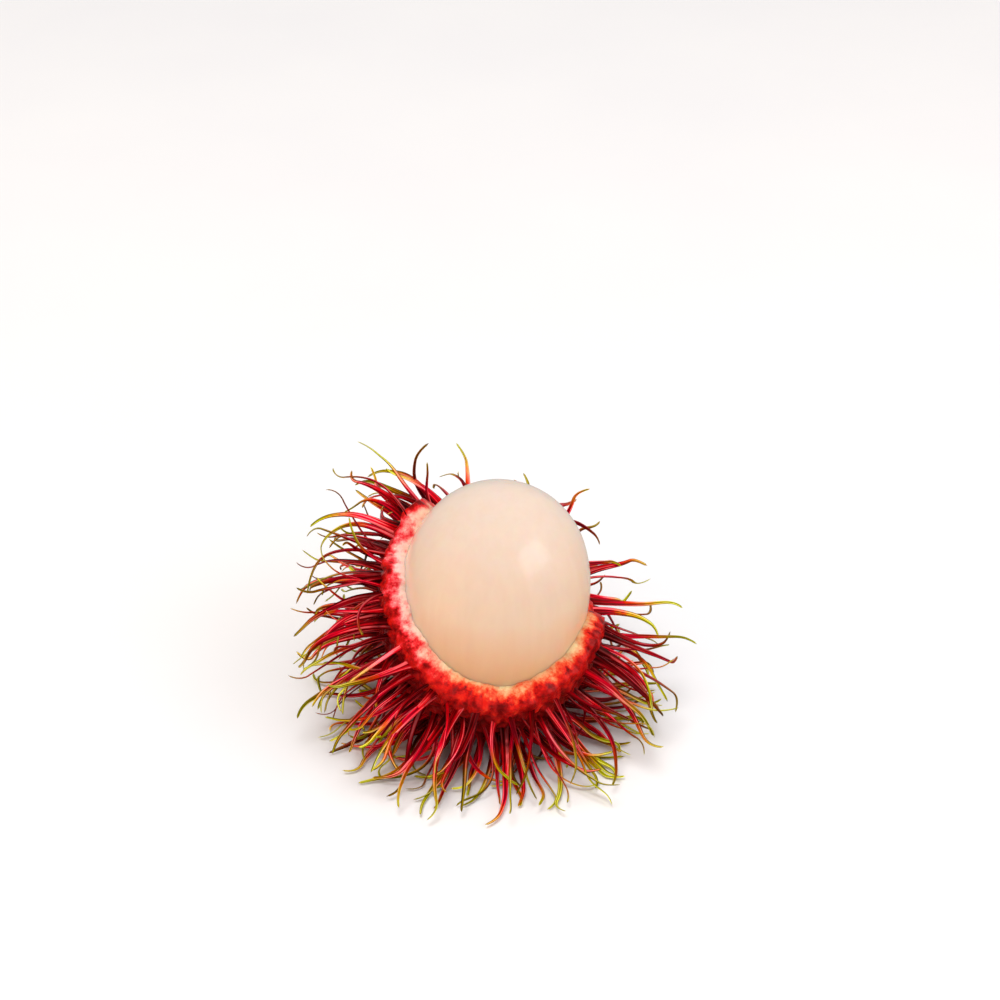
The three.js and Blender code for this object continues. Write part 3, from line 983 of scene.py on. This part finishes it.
TABLE_HALF_WIDTH = 1500
TABLE_MOTTLE = 60  # how wide its faint unevenness is
SOFTBOXES = [  # where each stands, its width and height, its power in watts and its tint
    ("overhead_softbox", (-160, -160, 1130), (640, 640), 9.1, "#FFFFFF"),
    ("side_window", (475, -265, 391), (500, 370), 1.5, "#F6F8FF"),
    ("warm_reflector", (-600, -330, 330), (500, 500), 1.8, "#FFCCA0"),
    ("rosy_reflector", (560, 60, 150), (300, 300), 0.65, "#FFC8A4"),
]
MIRRORED_SOFTBOX = "side_window"  # the others light the fruit without showing in its shine
WALL_LIGHT = (0.05, 0.52)  # below the table and overhead
WALL_EDGES = (-0.1, 0.45)  # heights of a unit direction, where it begins to rise and is whole
FAR_WALL_LIGHT = 0.5  # what the fruit's shine mirrors: a light far side, along its outline
FAR_WALL_EDGES = (0.5, 0.8)  # the same, along +Y
BACKDROP_LIGHT = 0.95  # what the camera sees behind the table
CAMERA_ELEVATION = math.radians(34)
CAMERA_LENS = 100
CAMERA_SENSOR = 36
FRUIT_PIXELS = (-5, 92)  # where the fruit's centre lies from the middle of the frame
PIXEL = 0.1609  # millimetres a pixel at the fruit
FRAME_PIXELS = 1000

table_material = bpy.data.materials.new("white_table")
table_material.use_nodes = True
tree = table_material.node_tree
tree.nodes.clear()
place = add_node(tree, "ShaderNodeTexCoord", {}).outputs["Object"]
mottle = add_node(
    tree, "ShaderNodeTexNoise", {"Vector": place, "Scale": 1 / (TABLE_MOTTLE * MM), "Detail": 3}
).outputs[0]
table_tint = add_node(
    tree, "ShaderNodeValToRGB", {"Fac": mottle}, stops=[(0.3, "#E8E8E9"), (0.7, "#EBEBEB")]
).outputs[0]
table_shader = add_node(
    tree, "ShaderNodeBsdfPrincipled", {"Base Color": table_tint, "Roughness": 0.6}
)
add_node(tree, "ShaderNodeOutputMaterial", {"Surface": table_shader.outputs[0]})
corners = [(-1, -1, 0), (1, -1, 0), (1, 1, 0), (-1, 1, 0)]
table = add_piece(
    "table", np.array(corners) * TABLE_HALF_WIDTH, [(0, 1, 2, 3)], table_material, {}
)
table.visible_glossy = False

# The walls are light overhead and dim below the table, so the fruit keeps its shade underneath.
# A shine sees only their far side, and the camera an even backdrop.
walls = bpy.data.worlds.new("studio_walls")
walls.use_nodes = True
tree = walls.node_tree
tree.nodes.clear()
way = add_node(tree, "ShaderNodeTexCoord", {}).outputs["Generated"]
way = add_node(tree, "ShaderNodeSeparateXYZ", {0: way}).outputs
near_light = add_node(
    tree,
    "ShaderNodeMapRange",
    {
        "Value": way["Z"],
        "From Min": WALL_EDGES[0],
        "From Max": WALL_EDGES[1],
        "To Min": WALL_LIGHT[0],
        "To Max": WALL_LIGHT[1],
    },
).outputs[0]
far_light = add_node(
    tree,
    "ShaderNodeMapRange",
    {
        "Value": way["Y"],
        "From Min": FAR_WALL_EDGES[0],
        "From Max": FAR_WALL_EDGES[1],
        "To Min": 0,
        "To Max": FAR_WALL_LIGHT,
    },
).outputs[0]
path = add_node(tree, "ShaderNodeLightPath", {}).outputs
wall_light = add_node(
    tree,
    "ShaderNodeMix",
    {0: path["Is Glossy Ray"], 2: near_light, 3: far_light},
    data_type="FLOAT",
).outputs[0]
backdrop = add_node(
    tree,
    "ShaderNodeMix",
    {0: path["Is Camera Ray"], 2: wall_light, 3: BACKDROP_LIGHT},
    data_type="FLOAT",
).outputs[0]
wall_shader = add_node(tree, "ShaderNodeBackground", {"Color": (1, 1, 1, 1), "Strength": backdrop})
add_node(tree, "ShaderNodeOutputWorld", {"Surface": wall_shader.outputs[0]})
bpy.context.scene.world = walls

aim = Vector(centre) * MM
for name, where, (width, tall), power, tint in SOFTBOXES:
    light = bpy.data.lights.new(name, "AREA")
    light.shape = "RECTANGLE"
    light.size, light.size_y = width * MM, tall * MM
    light.energy = power
    light.color = colour(tint)[:3]
    softbox = bpy.data.objects.new(name, light)
    softbox.location = Vector(where) * MM
    softbox.rotation_euler = (aim - softbox.location).to_track_quat("-Z", "Y").to_euler()
    softbox.visible_glossy = name == MIRRORED_SOFTBOX
    bpy.context.collection.objects.link(softbox)

back = Vector((0, -math.cos(CAMERA_ELEVATION), math.sin(CAMERA_ELEVATION)))
up = Vector((0, math.sin(CAMERA_ELEVATION), math.cos(CAMERA_ELEVATION)))
right_pixels, down_pixels = FRUIT_PIXELS
target = Vector(centre) - Vector((1, 0, 0)) * right_pixels * PIXEL + up * down_pixels * PIXEL
distance = PIXEL * FRAME_PIXELS / CAMERA_SENSOR * CAMERA_LENS
camera_data = bpy.data.cameras.new("camera")
camera_data.lens = CAMERA_LENS
camera_data.sensor_width = CAMERA_SENSOR
camera = bpy.data.objects.new("camera", camera_data)
camera.location = (target + back * distance) * MM
camera.rotation_euler = (-back).to_track_quat("-Z", "Y").to_euler()
bpy.context.collection.objects.link(camera)
bpy.context.scene.camera = camera
bpy.context.scene.view_settings.view_transform = "Standard"
